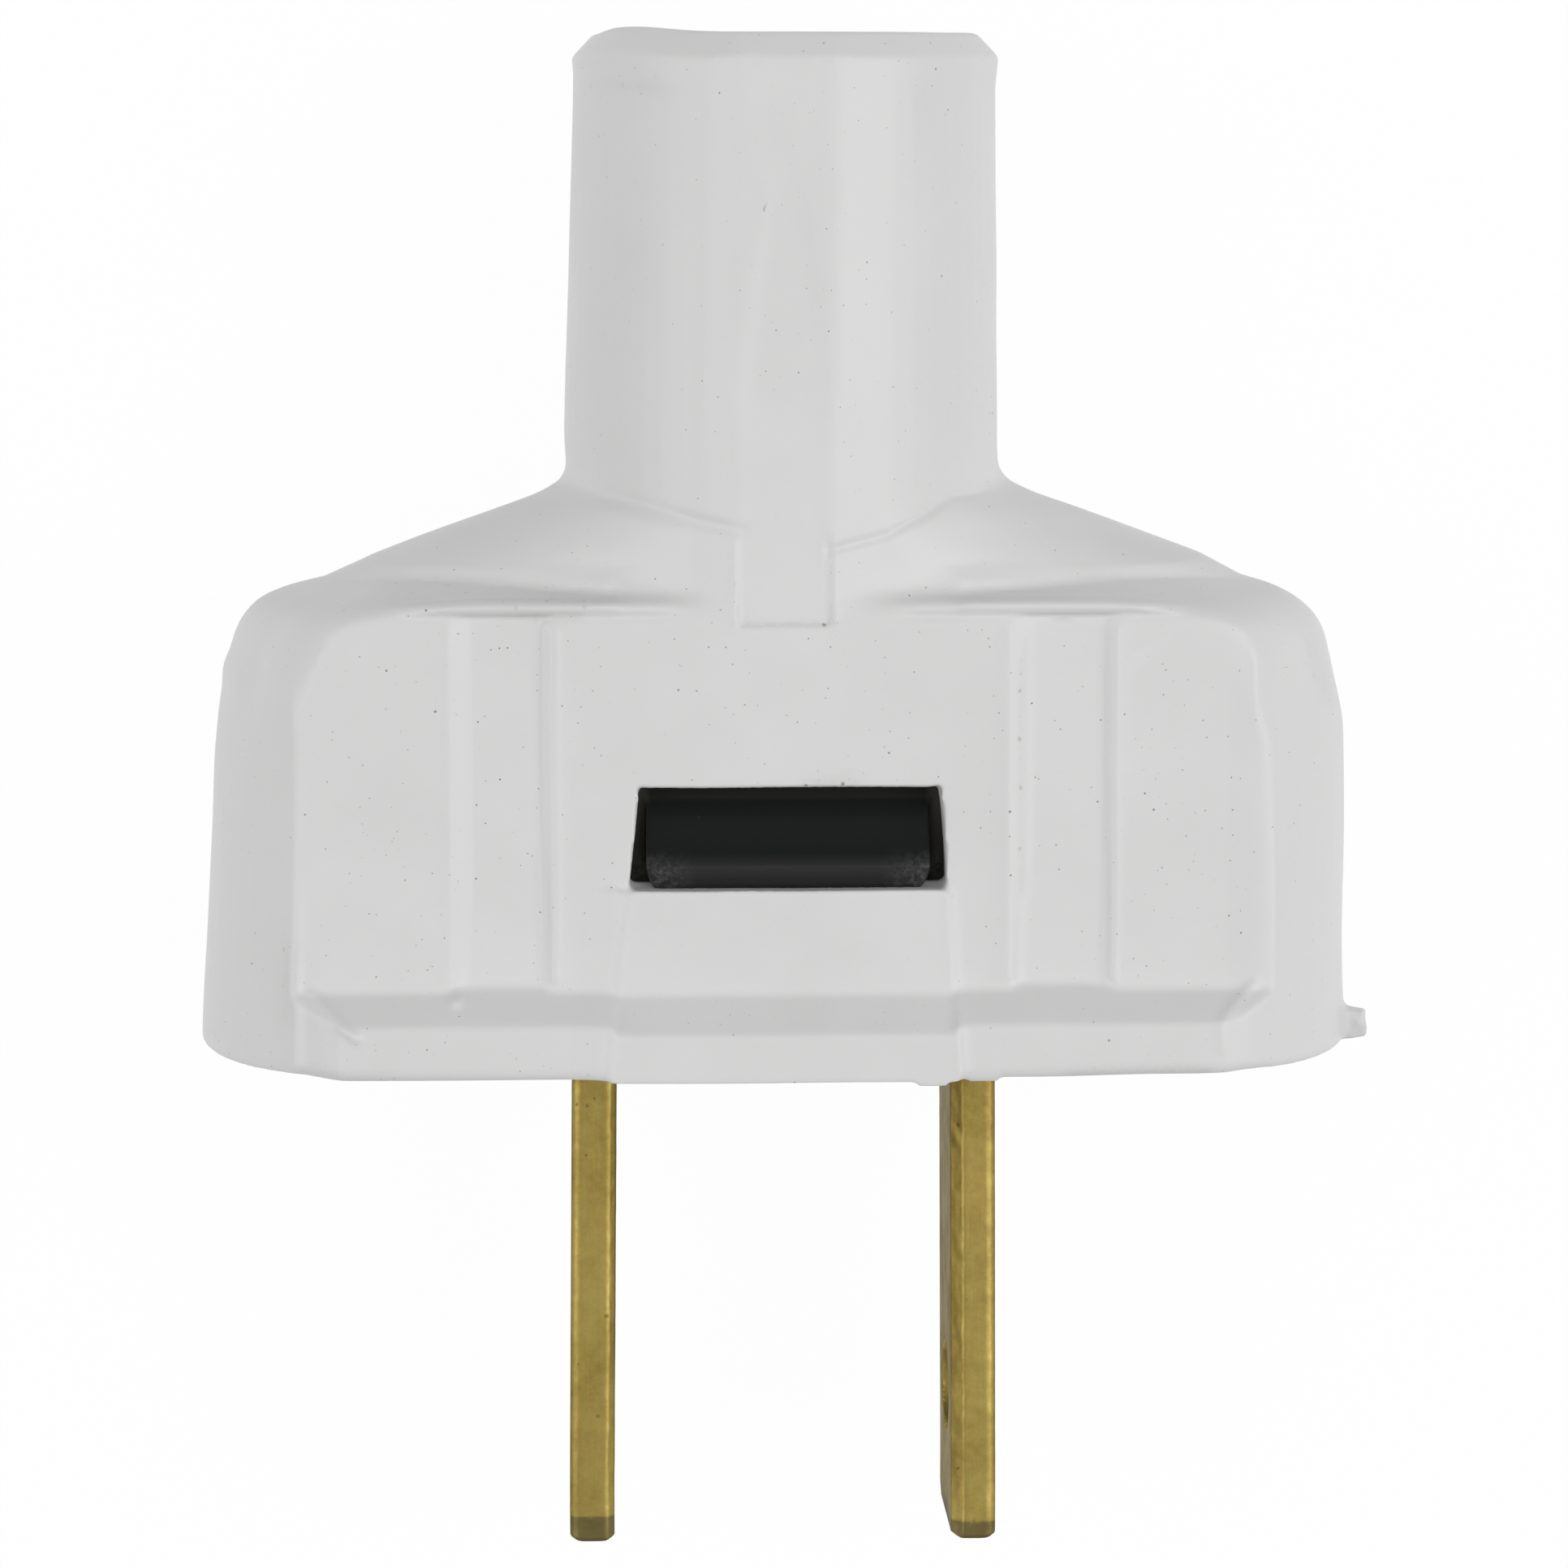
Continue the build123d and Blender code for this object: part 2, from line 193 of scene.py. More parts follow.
# %% Lamps and world
# Each lamp has its offset to the side and its power
lamp_distance = 0.5
lamp_size = 0.34
lamp_shape = 1.4
lamp_sides = {"left_softbox": (-1.15, 1.01), "right_softbox": (0.88, 1.45)}
lamp_rise = 0.11
world_strength = 0.36

for name, (side, power) in lamp_sides.items():
    lamp = bpy.data.objects.new(name, bpy.data.lights.new(name, "AREA"))
    lamp.data.shape = "RECTANGLE"
    lamp.data.size = lamp_size
    lamp.data.size_y = lamp_size * lamp_shape
    lamp.data.energy = power
    direction = Vector((side, lamp_rise, 1)).normalized()
    lamp.location = direction * lamp_distance
    lamp.rotation_euler = direction.to_track_quat("Z", "Y").to_euler()
    bpy.context.collection.objects.link(lamp)

world = bpy.data.worlds.new("pale room")
world.use_nodes = True
world.node_tree.nodes["Background"].inputs["Color"].default_value = (1, 1, 1, 1)
world.node_tree.nodes["Background"].inputs["Strength"].default_value = world_strength
bpy.context.scene.world = world
print("lamps:", sorted(lamp_sides), "and a world of strength", world_strength)

# %% [markdown]
# Dust is used by three of the materials. The group scatters a few dark specks of different sizes: a
# Voronoi cell gives each speck its middle, and a random value for each cell decides whether it is there.
# Small loose meshes could lie on the pieces instead, but thousands of them would be heavy for no gain.

# %% Shared group: dust specks
def make_dust_group():
    group, entry, leave = new_group(
        "dust specks",
        [
            ("Vector", "NodeSocketVector", None),
            ("Cells per metre", "NodeSocketFloat", 1600.0),
            ("Speck size", "NodeSocketFloat", 0.12),
            ("Rarity", "NodeSocketFloat", 0.4),
        ],
        [("Mask", "NodeSocketFloat")],
    )
    wobble = add_node(group, "ShaderNodeTexNoise", {"Scale": 2600.0, "Detail": 2.0})
    shift = add_node(group, "ShaderNodeVectorMath", {"Scale": 0.00006}, operation="SCALE")
    moved = add_node(group, "ShaderNodeVectorMath", operation="ADD")
    cells = add_node(group, "ShaderNodeTexVoronoi", feature="F1")
    split = add_node(group, "ShaderNodeSeparateColor")
    present = add_node(group, "ShaderNodeMath", operation="GREATER_THAN")
    size = add_node(group, "ShaderNodeMath", operation="MULTIPLY")
    near = add_node(group, "ShaderNodeMapRange", {"From Min": 1.0, "From Max": 0.55}, clamp=True)
    ratio = add_node(group, "ShaderNodeMath", operation="DIVIDE")
    darkness = add_node(group, "ShaderNodeMath", {1: 2.0}, operation="POWER")
    seen = add_node(group, "ShaderNodeMath", operation="MULTIPLY")
    mask = add_node(group, "ShaderNodeMath", operation="MULTIPLY")
    wire(group, entry, "Vector", wobble, "Vector")
    wire(group, wobble, "Color", shift, 0)
    wire(group, entry, "Vector", moved, 0)
    wire(group, shift, 0, moved, 1)
    wire(group, moved, 0, cells, "Vector")
    wire(group, entry, "Cells per metre", cells, "Scale")
    wire(group, cells, "Color", split, "Color")
    wire(group, split, 0, present, 0)
    wire(group, entry, "Rarity", present, 1)
    wire(group, split, 1, size, 0)
    wire(group, entry, "Speck size", size, 1)
    wire(group, cells, "Distance", ratio, 0)
    wire(group, size, 0, ratio, 1)
    wire(group, ratio, 0, near, "Value")
    wire(group, split, 2, darkness, 0)
    wire(group, darkness, 0, seen, 0)
    wire(group, present, 0, seen, 1)
    wire(group, near, "Result", mask, 0)
    wire(group, seen, 0, mask, 1)
    wire(group, mask, 0, leave, "Mask")
    return group


dust_group = make_dust_group()
print(dust_group.name, "has", len(dust_group.nodes), "nodes")

# %% [markdown]
# Moulded rubber is never quite even. The mottle group gives slow, soft patches, used for colour and for
# gloss, and a fine grain, used for bump.

# %% Shared group: mottle and grain
def make_mottle_group():
    group, entry, leave = new_group(
        "mottle and grain",
        [
            ("Vector", "NodeSocketVector", None),
            ("Patch scale", "NodeSocketFloat", 160.0),
            ("Grain scale", "NodeSocketFloat", 5200.0),
        ],
        [("Patches", "NodeSocketFloat"), ("Grain", "NodeSocketFloat"), ("Waves", "NodeSocketFloat")],
    )
    patches = add_node(group, "ShaderNodeTexNoise", {"Detail": 4.0, "Roughness": 0.55})
    grain = add_node(group, "ShaderNodeTexNoise", {"Detail": 3.0, "Roughness": 0.6})
    waves = add_node(group, "ShaderNodeTexNoise", {"Detail": 1.0})
    slower = add_node(group, "ShaderNodeMath", {1: 2.2}, operation="MULTIPLY")
    for node in (patches, grain, waves):
        wire(group, entry, "Vector", node, "Vector")
    wire(group, entry, "Patch scale", patches, "Scale")
    wire(group, entry, "Grain scale", grain, "Scale")
    wire(group, entry, "Patch scale", slower, 0)
    wire(group, slower, 0, waves, "Scale")
    wire(group, patches, 0, leave, "Patches")
    wire(group, grain, 0, leave, "Grain")
    wire(group, waves, 0, leave, "Waves")
    return group


mottle_group = make_mottle_group()
print(mottle_group.name, "has", len(mottle_group.nodes), "nodes")

# %% [markdown]
# The housing is a soft white rubber with a slight sheen. Its colour barely changes, its gloss changes
# more, and a fine bump breaks up the reflections. Dark dust sits on it in specks, and packed dust shows
# only where the skin's grime attribute lets it. Light scattered inside the rubber could be added, but the
# housing is thick and shows no glow at its edges, so a plain surface does.

# %% Material: white rubber
# Cells per metre, speck size and share of cells with a speck, for settled, fine and packed dust
rubber_dusts = ((1500.0, 0.085, 0.24), (3700.0, 0.14, 0.11), (5000.0, 0.6, 0.75))


def make_white_rubber():
    material, tree = new_material("white rubber")
    place = add_node(tree, "ShaderNodeTexCoord")
    mottle = place_group(tree, mottle_group, {"Patch scale": 210.0, "Grain scale": 7000.0})
    dust, fine_dust, packed_dust = (
        place_group(tree, dust_group, {"Cells per metre": cells, "Speck size": size, "Rarity": rarity})
        for cells, size, rarity in rubber_dusts
    )
    grime = add_node(tree, "ShaderNodeAttribute", attribute_name="grime")
    settled = add_node(tree, "ShaderNodeMath", operation="MULTIPLY")
    smear = add_node(tree, "ShaderNodeMath", {1: 0.22}, operation="MULTIPLY")
    smeared = add_node(tree, "ShaderNodeMath", operation="MULTIPLY")
    with_smear = add_node(tree, "ShaderNodeMath", operation="MAXIMUM")
    specks = add_node(tree, "ShaderNodeMath", operation="MAXIMUM")
    all_specks = add_node(tree, "ShaderNodeMath", operation="MAXIMUM")
    tone = add_node(tree, "ShaderNodeValToRGB")
    tone.color_ramp.elements[0].position = 0.3
    tone.color_ramp.elements[0].color = (0.678, 0.676, 0.674, 1)
    tone.color_ramp.elements[1].position = 0.7
    tone.color_ramp.elements[1].color = (0.703, 0.701, 0.7, 1)
    dirty = add_node(tree, "ShaderNodeMix", data_type="RGBA")
    dirty.inputs["B"].default_value = (0.1, 0.095, 0.085, 1)
    gloss = add_node(
        tree, "ShaderNodeMapRange", {"From Min": 0.3, "From Max": 0.7, "To Min": 0.36, "To Max": 0.52}
    )
    grain_bump = add_node(tree, "ShaderNodeBump", {"Strength": 0.12, "Distance": 0.00002})
    wave_bump = add_node(tree, "ShaderNodeBump", {"Strength": 0.2, "Distance": 0.00012})
    rubber = add_node(tree, "ShaderNodeBsdfPrincipled", {"IOR": 1.47, "Specular IOR Level": 0.5})
    surface = add_node(tree, "ShaderNodeOutputMaterial")
    for group in (mottle, dust, fine_dust, packed_dust):
        wire(tree, place, "Object", group, "Vector")
    wire(tree, mottle, "Patches", tone, "Fac")
    wire(tree, tone, "Color", dirty, "A")
    wire(tree, packed_dust, "Mask", settled, 0)
    wire(tree, grime, "Fac", settled, 1)
    wire(tree, dust, "Mask", specks, 0)
    wire(tree, fine_dust, "Mask", specks, 1)
    wire(tree, specks, 0, all_specks, 0)
    wire(tree, settled, 0, all_specks, 1)
    wire(tree, mottle, "Grain", smear, 0)
    wire(tree, smear, 0, smeared, 0)
    wire(tree, grime, "Fac", smeared, 1)
    wire(tree, all_specks, 0, with_smear, 0)
    wire(tree, smeared, 0, with_smear, 1)
    wire(tree, with_smear, 0, dirty, "Factor")
    wire(tree, dirty, "Result", rubber, "Base Color")
    wire(tree, mottle, "Patches", gloss, "Value")
    wire(tree, gloss, "Result", rubber, "Roughness")
    wire(tree, mottle, "Waves", wave_bump, "Height")
    wire(tree, mottle, "Grain", grain_bump, "Height")
    wire(tree, wave_bump, "Normal", grain_bump, "Normal")
    wire(tree, grain_bump, "Normal", rubber, "Normal")
    wire(tree, rubber, 0, surface, "Surface")
    return material


white_rubber = make_white_rubber()
print(white_rubber.name, "has", len(white_rubber.node_tree.nodes), "nodes")

# %% [markdown]
# The core is black nylon. Where it ramps up in the window it is smooth, and below the barb's crest it is
# rough and a little paler, as a face left by the mould's edge is. A painted highlight runs along the crest,
# the lower corners are scuffed grey, and the deep face beside the barb gets painted light: a paler,
# brownish tone that lifts it out of the shade it lies in. Painted vertices could carry these, but places
# in millimetres are exact and stay put when the mesh changes.

# %% Material: black nylon
barb_crest_height = 6.74 * mm
# Place and width of the painted highlight along the barb's crest
crest_highlight_height = 6.77 * mm
crest_highlight_width = 0.4 * mm
# deep_start to beside_full place the painted light on the deep face beside the barb
deep_start = 5.82 * mm
deep_full = 5.75 * mm
beside_start = 4.5 * mm
beside_full = 4.7 * mm
corner_start = 3.0 * mm
corner_full = 4.3 * mm
scuff_start = 7.35 * mm
scuff_full = 6.5 * mm


def make_black_nylon():
    material, tree = new_material("black nylon")
    place = add_node(tree, "ShaderNodeTexCoord")
    mottle = place_group(tree, mottle_group, {"Patch scale": 500.0, "Grain scale": 6000.0})
    dust = place_group(tree, dust_group, {"Cells per metre": 700.0, "Speck size": 0.06, "Rarity": 0.7})
    axes = add_node(tree, "ShaderNodeSeparateXYZ")
    band = add_node(
        tree,
        "ShaderNodeMapRange",
        {"From Min": barb_crest_height, "From Max": barb_crest_height - 0.08 * mm},
        clamp=True,
    )
    deep = add_node(
        tree, "ShaderNodeMapRange", {"From Min": deep_start, "From Max": deep_full, "To Max": 0.9}, clamp=True
    )
    beside = add_node(
        tree,
        "ShaderNodeMapRange",
        {"From Min": beside_start, "From Max": beside_full, "To Min": 0.3},
        clamp=True,
    )
    painted_light_share = add_node(tree, "ShaderNodeMath", operation="MULTIPLY")
    # Painted light: the deep face beside the barb is painted a paler, brownish tone to lift it out of its
    # shade
    deep_painted_light = add_node(tree, "ShaderNodeMix", data_type="RGBA")
    deep_painted_light.inputs["B"].default_value = (0.045, 0.043, 0.035, 1)
    # Painted highlight: a paler line along the barb's crest, where the ridge catches the light
    crest_highlight_share = add_node(
        tree,
        "ShaderNodeMapRange",
        {"From Min": crest_highlight_width, "From Max": 0.02 * mm, "To Max": 0.5},
        clamp=True,
    )
    from_crest = add_node(tree, "ShaderNodeMath", {1: crest_highlight_height}, operation="SUBTRACT")
    crest_gap = add_node(tree, "ShaderNodeMath", operation="ABSOLUTE")
    painted_crest_highlight = add_node(tree, "ShaderNodeMix", data_type="RGBA")
    painted_crest_highlight.inputs["B"].default_value = (0.035, 0.036, 0.034, 1)
    sideways = add_node(tree, "ShaderNodeMath", operation="ABSOLUTE")
    corner = add_node(
        tree, "ShaderNodeMapRange", {"From Min": corner_start, "From Max": corner_full}, clamp=True
    )
    low = add_node(tree, "ShaderNodeMapRange", {"From Min": scuff_start, "From Max": scuff_full}, clamp=True)
    scuff = add_node(tree, "ShaderNodeTexNoise", {"Scale": 5200.0, "Detail": 5.0, "Roughness": 0.75})
    scuffed = add_node(
        tree, "ShaderNodeMapRange", {"From Min": 0.42, "From Max": 0.68, "To Max": 0.9}, clamp=True
    )
    where = add_node(tree, "ShaderNodeMath", operation="MULTIPLY")
    scuff_share = add_node(tree, "ShaderNodeMath", operation="MULTIPLY")
    scuff_tone = add_node(tree, "ShaderNodeMix", data_type="RGBA")
    scuff_tone.inputs["B"].default_value = (0.1, 0.102, 0.1, 1)
    tone = add_node(tree, "ShaderNodeMix", data_type="RGBA")
    tone.inputs["A"].default_value = (0.0045, 0.0052, 0.0054, 1)
    tone.inputs["B"].default_value = (0.0135, 0.0142, 0.014, 1)
    dirty = add_node(tree, "ShaderNodeMix", data_type="RGBA")
    dirty.inputs["B"].default_value = (0.11, 0.105, 0.1, 1)
    gloss = add_node(tree, "ShaderNodeMapRange", {"To Min": 0.34, "To Max": 0.7})
    roughened = add_node(tree, "ShaderNodeMapRange", {"To Min": 0.08, "To Max": 0.6})
    bump = add_node(tree, "ShaderNodeBump", {"Distance": 0.00004})
    nylon = add_node(tree, "ShaderNodeBsdfPrincipled", {"IOR": 1.5, "Specular IOR Level": 0.3})
    surface = add_node(tree, "ShaderNodeOutputMaterial")
    for node in (mottle, dust, axes):
        wire(tree, place, "Object", node, 0)
    wire(tree, axes, "Y", band, "Value")
    wire(tree, band, "Result", tone, "Factor")
    wire(tree, axes, "Z", deep, "Value")
    wire(tree, sideways, 0, beside, "Value")
    wire(tree, deep, "Result", painted_light_share, 0)
    wire(tree, beside, "Result", painted_light_share, 1)
    wire(tree, painted_light_share, 0, deep_painted_light, "Factor")
    wire(tree, tone, "Result", deep_painted_light, "A")
    wire(tree, axes, "Y", from_crest, 0)
    wire(tree, from_crest, 0, crest_gap, 0)
    wire(tree, crest_gap, 0, crest_highlight_share, "Value")
    wire(tree, crest_highlight_share, "Result", painted_crest_highlight, "Factor")
    wire(tree, deep_painted_light, "Result", painted_crest_highlight, "A")
    wire(tree, axes, "X", sideways, 0)
    wire(tree, sideways, 0, corner, "Value")
    wire(tree, axes, "Y", low, "Value")
    wire(tree, place, "Object", scuff, "Vector")
    wire(tree, scuff, 0, scuffed, "Value")
    wire(tree, corner, "Result", where, 0)
    wire(tree, low, "Result", where, 1)
    wire(tree, where, 0, scuff_share, 0)
    wire(tree, scuffed, "Result", scuff_share, 1)
    wire(tree, scuff_share, 0, scuff_tone, "Factor")
    wire(tree, painted_crest_highlight, "Result", scuff_tone, "A")
    wire(tree, scuff_tone, "Result", dirty, "A")
    wire(tree, dust, "Mask", dirty, "Factor")
    wire(tree, dirty, "Result", nylon, "Base Color")
    wire(tree, band, "Result", gloss, "Value")
    wire(tree, gloss, "Result", nylon, "Roughness")
    wire(tree, band, "Result", roughened, "Value")
    wire(tree, roughened, "Result", bump, "Strength")
    wire(tree, mottle, "Grain", bump, "Height")
    wire(tree, bump, "Normal", nylon, "Normal")
    wire(tree, nylon, 0, surface, "Surface")
    return material


black_nylon = make_black_nylon()
print(black_nylon.name, "has", len(black_nylon.node_tree.nodes), "nodes")

# %% [markdown]
# The blades are stamped brass that has dulled. Fine scratches run along them, darker tarnish lies in
# clouds, and small pits show on the sheared edges. The wide faces get a painted reflection: the object's own
# normal picks them out and paints them greyer than the sheared ones. The tips get painted shade, darkest at
# the end, and each blade's skin says by name how much of it is shaded. One metal for both blades keeps
# them alike, as two cuts of one strip are.

# %% Material: dull brass
def make_dull_brass():
    material, tree = new_material("dull brass")
    place = add_node(tree, "ShaderNodeTexCoord")
    stretch = add_node(tree, "ShaderNodeMapping", {"Scale": (9000.0, 260.0, 9000.0)})
    scratches = add_node(tree, "ShaderNodeTexNoise", {"Scale": 1.0, "Detail": 4.0, "Roughness": 0.65})
    clouds = add_node(tree, "ShaderNodeTexNoise", {"Scale": 420.0, "Detail": 7.0, "Roughness": 0.78})
    pits = place_group(tree, dust_group, {"Cells per metre": 3200.0, "Speck size": 0.36, "Rarity": 0.75})
    tone = add_node(tree, "ShaderNodeValToRGB")
    tone.color_ramp.elements[0].position = 0.3
    tone.color_ramp.elements[0].color = (0.335, 0.236, 0.058, 1)
    tone.color_ramp.elements[1].position = 0.68
    tone.color_ramp.elements[1].color = (0.61, 0.475, 0.135, 1)
    streaks = add_node(tree, "ShaderNodeMix", data_type="RGBA", blend_type="MULTIPLY")
    streaks.inputs["Factor"].default_value = 0.25
    pitted = add_node(tree, "ShaderNodeMix", data_type="RGBA")
    pitted.inputs["B"].default_value = (0.09, 0.065, 0.03, 1)
    # Painted reflection: faces that look sideways are painted greyer
    facing = add_node(tree, "ShaderNodeSeparateXYZ")
    sideways = add_node(tree, "ShaderNodeMath", operation="ABSOLUTE")
    sideways_facing = add_node(tree, "ShaderNodeMapRange", {"From Min": 0.7, "From Max": 0.95}, clamp=True)
    painted_side_reflection = add_node(tree, "ShaderNodeMix", data_type="RGBA", blend_type="MULTIPLY")
    painted_side_reflection.inputs["B"].default_value = (0.56, 0.58, 0.6, 1)
    # Painted shade on the tips, read by name from each blade's skin
    tip_shade = add_node(tree, "ShaderNodeAttribute", attribute_name="tip_shade")
    tip_painted_shade = add_node(tree, "ShaderNodeMix", data_type="RGBA", blend_type="MULTIPLY")
    tip_painted_shade.inputs["B"].default_value = (0.46, 0.48, 0.66, 1)
    gloss = add_node(
        tree, "ShaderNodeMapRange", {"From Min": 0.3, "From Max": 0.7, "To Min": 0.56, "To Max": 0.38}
    )
    bump = add_node(tree, "ShaderNodeBump", {"Strength": 0.25, "Distance": 0.00002})
    brass = add_node(
        tree, "ShaderNodeBsdfPrincipled", {"Metallic": 0.9, "Specular Tint": (0.62, 0.6, 0.55, 1)}
    )
    surface = add_node(tree, "ShaderNodeOutputMaterial")
    wire(tree, place, "Object", stretch, "Vector")
    wire(tree, stretch, "Vector", scratches, "Vector")
    wire(tree, place, "Object", clouds, "Vector")
    wire(tree, place, "Object", pits, "Vector")
    wire(tree, clouds, 0, tone, "Fac")
    wire(tree, tone, "Color", streaks, "A")
    wire(tree, scratches, "Color", streaks, "B")
    wire(tree, streaks, "Result", pitted, "A")
    wire(tree, pits, "Mask", pitted, "Factor")
    wire(tree, place, "Normal", facing, "Vector")
    wire(tree, facing, "X", sideways, 0)
    wire(tree, sideways, 0, sideways_facing, "Value")
    wire(tree, sideways_facing, "Result", painted_side_reflection, "Factor")
    wire(tree, pitted, "Result", painted_side_reflection, "A")
    wire(tree, tip_shade, "Fac", tip_painted_shade, "Factor")
    wire(tree, painted_side_reflection, "Result", tip_painted_shade, "A")
    wire(tree, tip_painted_shade, "Result", brass, "Base Color")
    wire(tree, clouds, 0, gloss, "Value")
    wire(tree, gloss, "Result", brass, "Roughness")
    wire(tree, scratches, 0, bump, "Height")
    wire(tree, bump, "Normal", brass, "Normal")
    wire(tree, brass, 0, surface, "Surface")
    return material


dull_brass = make_dull_brass()
print(dull_brass.name, "has", len(dull_brass.node_tree.nodes), "nodes")

# %% [markdown]
# The screws and washers are zinc plated and never seen unless the plug is opened. They still get a
# finish of their own, with the cloudy grey of plating.

# %% Material: zinc plate
def make_zinc_plate():
    material, tree = new_material("zinc plate")
    place = add_node(tree, "ShaderNodeTexCoord")
    clouds = add_node(tree, "ShaderNodeTexNoise", {"Scale": 900.0, "Detail": 4.0})
    tone = add_node(tree, "ShaderNodeValToRGB")
    tone.color_ramp.elements[0].color = (0.36, 0.36, 0.35, 1)
    tone.color_ramp.elements[1].color = (0.62, 0.62, 0.6, 1)
    gloss = add_node(tree, "ShaderNodeMapRange", {"To Min": 0.28, "To Max": 0.46})
    zinc = add_node(tree, "ShaderNodeBsdfPrincipled", {"Metallic": 1.0})
    surface = add_node(tree, "ShaderNodeOutputMaterial")
    wire(tree, place, "Object", clouds, "Vector")
    wire(tree, clouds, 0, tone, "Fac")
    wire(tree, tone, "Color", zinc, "Base Color")
    wire(tree, clouds, 0, gloss, "Value")
    wire(tree, gloss, "Result", zinc, "Roughness")
    wire(tree, zinc, 0, surface, "Surface")
    return material


zinc_plate = make_zinc_plate()
print(zinc_plate.name, "has", len(zinc_plate.node_tree.nodes), "nodes")

# %% [markdown]
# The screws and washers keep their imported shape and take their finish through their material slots. They
# are clean and hidden, so a skin of their own would add nothing.

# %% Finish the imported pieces
for piece_kind in ("terminal_screw_", "clamp_washer_"):
    for side in ("line", "neutral"):
        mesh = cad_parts[piece_kind + side].data
        if not mesh.materials:
            mesh.materials.append(zinc_plate)
        for index in range(len(mesh.materials)):
            mesh.materials[index] = zinc_plate
        print(piece_kind + side, "is finished in", zinc_plate.name)

# %% [markdown]
# Neither rubber nor moulded nylon has truly sharp edges, and the brass is worn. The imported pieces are
# exact but crisp, so the four that show are copied, merged into closed meshes and remeshed into small even
# cells, which can be worked like clay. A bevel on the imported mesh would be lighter, but its long thin
# triangles don't bevel or bend cleanly. The cells are finer than the grip channels are deep, so none of
# the form is lost.

# %% Helpers for clay copies
merge_distance = 0.0005 * mm


def bake_modifiers(piece, name):
    depsgraph = bpy.context.evaluated_depsgraph_get()
    mesh = bpy.data.meshes.new_from_object(piece.evaluated_get(depsgraph))
    piece.modifiers.clear()
    piece.data = mesh
    mesh.name = name


def clay_copy(node_name, piece_name, cell):
    bm = bmesh.new()
    bm.from_mesh(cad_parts[node_name].data)
    bmesh.ops.remove_doubles(bm, verts=bm.verts, dist=merge_distance)
    piece = bpy.data.objects.new(piece_name, bpy.data.meshes.new(piece_name))
    bm.to_mesh(piece.data)
    bm.free()
    bpy.context.collection.objects.link(piece)
    remesh = piece.modifiers.new("even cells", "REMESH")
    remesh.mode = "VOXEL"
    remesh.voxel_size = cell
    bake_modifiers(piece, piece_name)
    print(piece_name, "has", len(piece.data.vertices), "points")
    return piece


def soften(piece, rounds, chosen=None):
    bm = bmesh.new()
    bm.from_mesh(piece.data)
    points = [v for v in bm.verts if chosen is None or chosen(*(v.co / mm))]
    for step in range(rounds):
        bmesh.ops.smooth_vert(
            bm, verts=points, factor=0.5, use_axis_x=True, use_axis_y=True, use_axis_z=True
        )
    bm.to_mesh(piece.data)
    bm.free()
    print(piece.name, "softened at", len(points), "points")


def push_points(piece, push):
    for vertex in piece.data.vertices:
        x, y, z = vertex.co / mm
        vertex.co += Vector(push(x, y, z)) * mm


def thin_out(piece, goal):
    triangles = sum(len(face.vertices) - 2 for face in piece.data.polygons)
    thin = piece.modifiers.new("thin out", "DECIMATE")
    thin.ratio = min(1.0, goal / triangles)
    thin.use_collapse_triangulate = True
    bake_modifiers(piece, piece.name)
    print(piece.name, "went from", triangles, "to", len(piece.data.polygons), "triangles")


def finish_piece(piece, node_name, material):
    for face in piece.data.polygons:
        face.use_smooth = True
    piece.data.materials.clear()
    piece.data.materials.append(material)
    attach(piece, "root")
    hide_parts(node_name)


# %% [markdown]
# The real moulding is a little out of true, as soft parts are: the neck leans, the face end sits a touch
# to the left, and the left shoulder is slimmer than the right. Each of these is a smooth push, described
# by where it starts, where it is full, and how far it goes, all in millimetres. A cage around the piece
# could bend it too, but it would need a control for each of these places. A faint unevenness is added to
# all of it.

# %% Housing skin: out of true
housing_cell = 0.12 * mm
wave_size = 3.2
wave_height = 0.022


def ramp(value, start, full):
    share = min(1.0, max(0.0, (value - start) / (full - start)))
    return share * share * (3 - 2 * share)


def bell(value, middle, spread):
    return math.exp(-((value - middle) / spread) ** 2)


